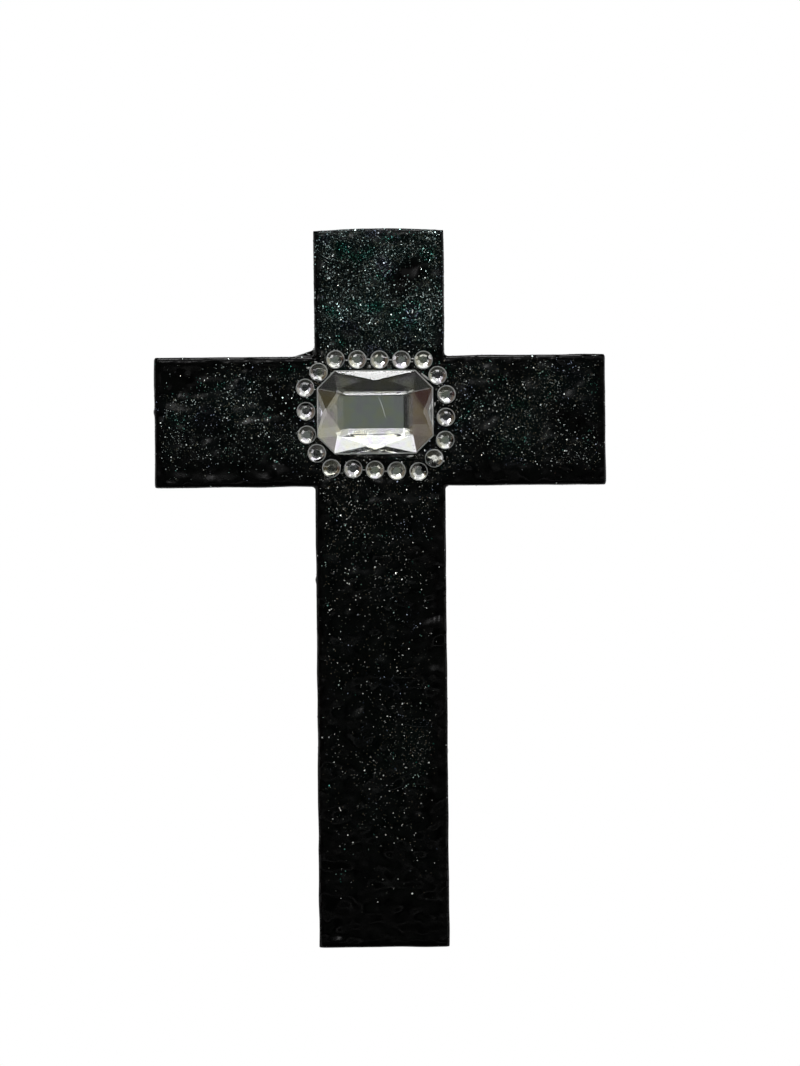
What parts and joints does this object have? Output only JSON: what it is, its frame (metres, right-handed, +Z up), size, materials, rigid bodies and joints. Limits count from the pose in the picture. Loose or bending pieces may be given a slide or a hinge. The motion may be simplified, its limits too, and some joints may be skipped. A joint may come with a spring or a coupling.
{
  "type": "decorated wall cross",
  "caption": "Small flat wall cross in thick black glitter paint, with a clear faceted gem where the arms cross, ringed by small round stones.",
  "frame": {"origin": "centre of the nail hole's mouth in the flat back, behind the middle of the crossing", "axes": "+X along the arms to the right as seen from the front, +Y into the wall, +Z up the upright; the decorated face looks along -Y"},
  "size_m": [0.097, 0.0137, 0.1545],
  "materials": {
    "glitter_paint": "wooden board under thick brushed black gloss paint with silver and green glitter",
    "gem": "clear faceted stone with a silvered back",
    "round_stone": "clear round stone with a silvered back"
  },
  "bodies": {
    "root": {"cross": "glitter_paint", "centre_gem": "gem", "stone_01": "round_stone", "stone_02": "round_stone", "stone_03": "round_stone", "stone_04": "round_stone", "stone_05": "round_stone", "stone_06": "round_stone", "stone_07": "round_stone", "stone_08": "round_stone", "stone_09": "round_stone", "stone_10": "round_stone", "stone_11": "round_stone", "stone_12": "round_stone", "stone_13": "round_stone", "stone_14": "round_stone", "stone_15": "round_stone", "stone_16": "round_stone", "stone_17": "round_stone", "stone_18": "round_stone", "stone_19": "round_stone", "stone_20": "round_stone"}
  },
  "joints": []
}
